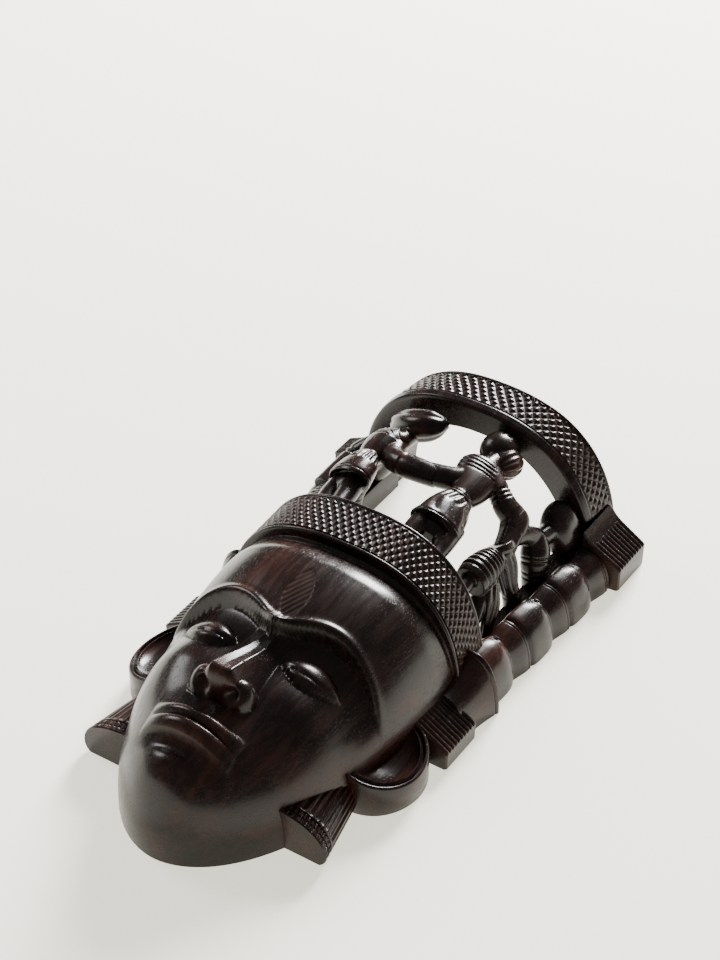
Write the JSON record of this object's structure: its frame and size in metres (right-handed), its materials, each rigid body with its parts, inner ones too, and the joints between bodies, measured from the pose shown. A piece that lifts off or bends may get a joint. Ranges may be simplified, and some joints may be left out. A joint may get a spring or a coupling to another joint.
{
  "type": "carved wall mask",
  "caption": "Carved dark hardwood wall mask: a calm face under a crosshatched headband, with an openwork vault of linked dancers below a crosshatched crown and rope-carved rails.",
  "frame": {"origin": "centre of the flat back, on the surface that the mask lies on", "axes": "+Y from the chin towards the crown, +Z out of the face, +X to the wearer's left of the face as it looks up"},
  "size_m": [0.1844, 0.32, 0.0844],
  "materials": {
    "dark_hardwood": "polished, semi-gloss"
  },
  "bodies": {
    "root": {"mask": "dark_hardwood"}
  },
  "joints": []
}
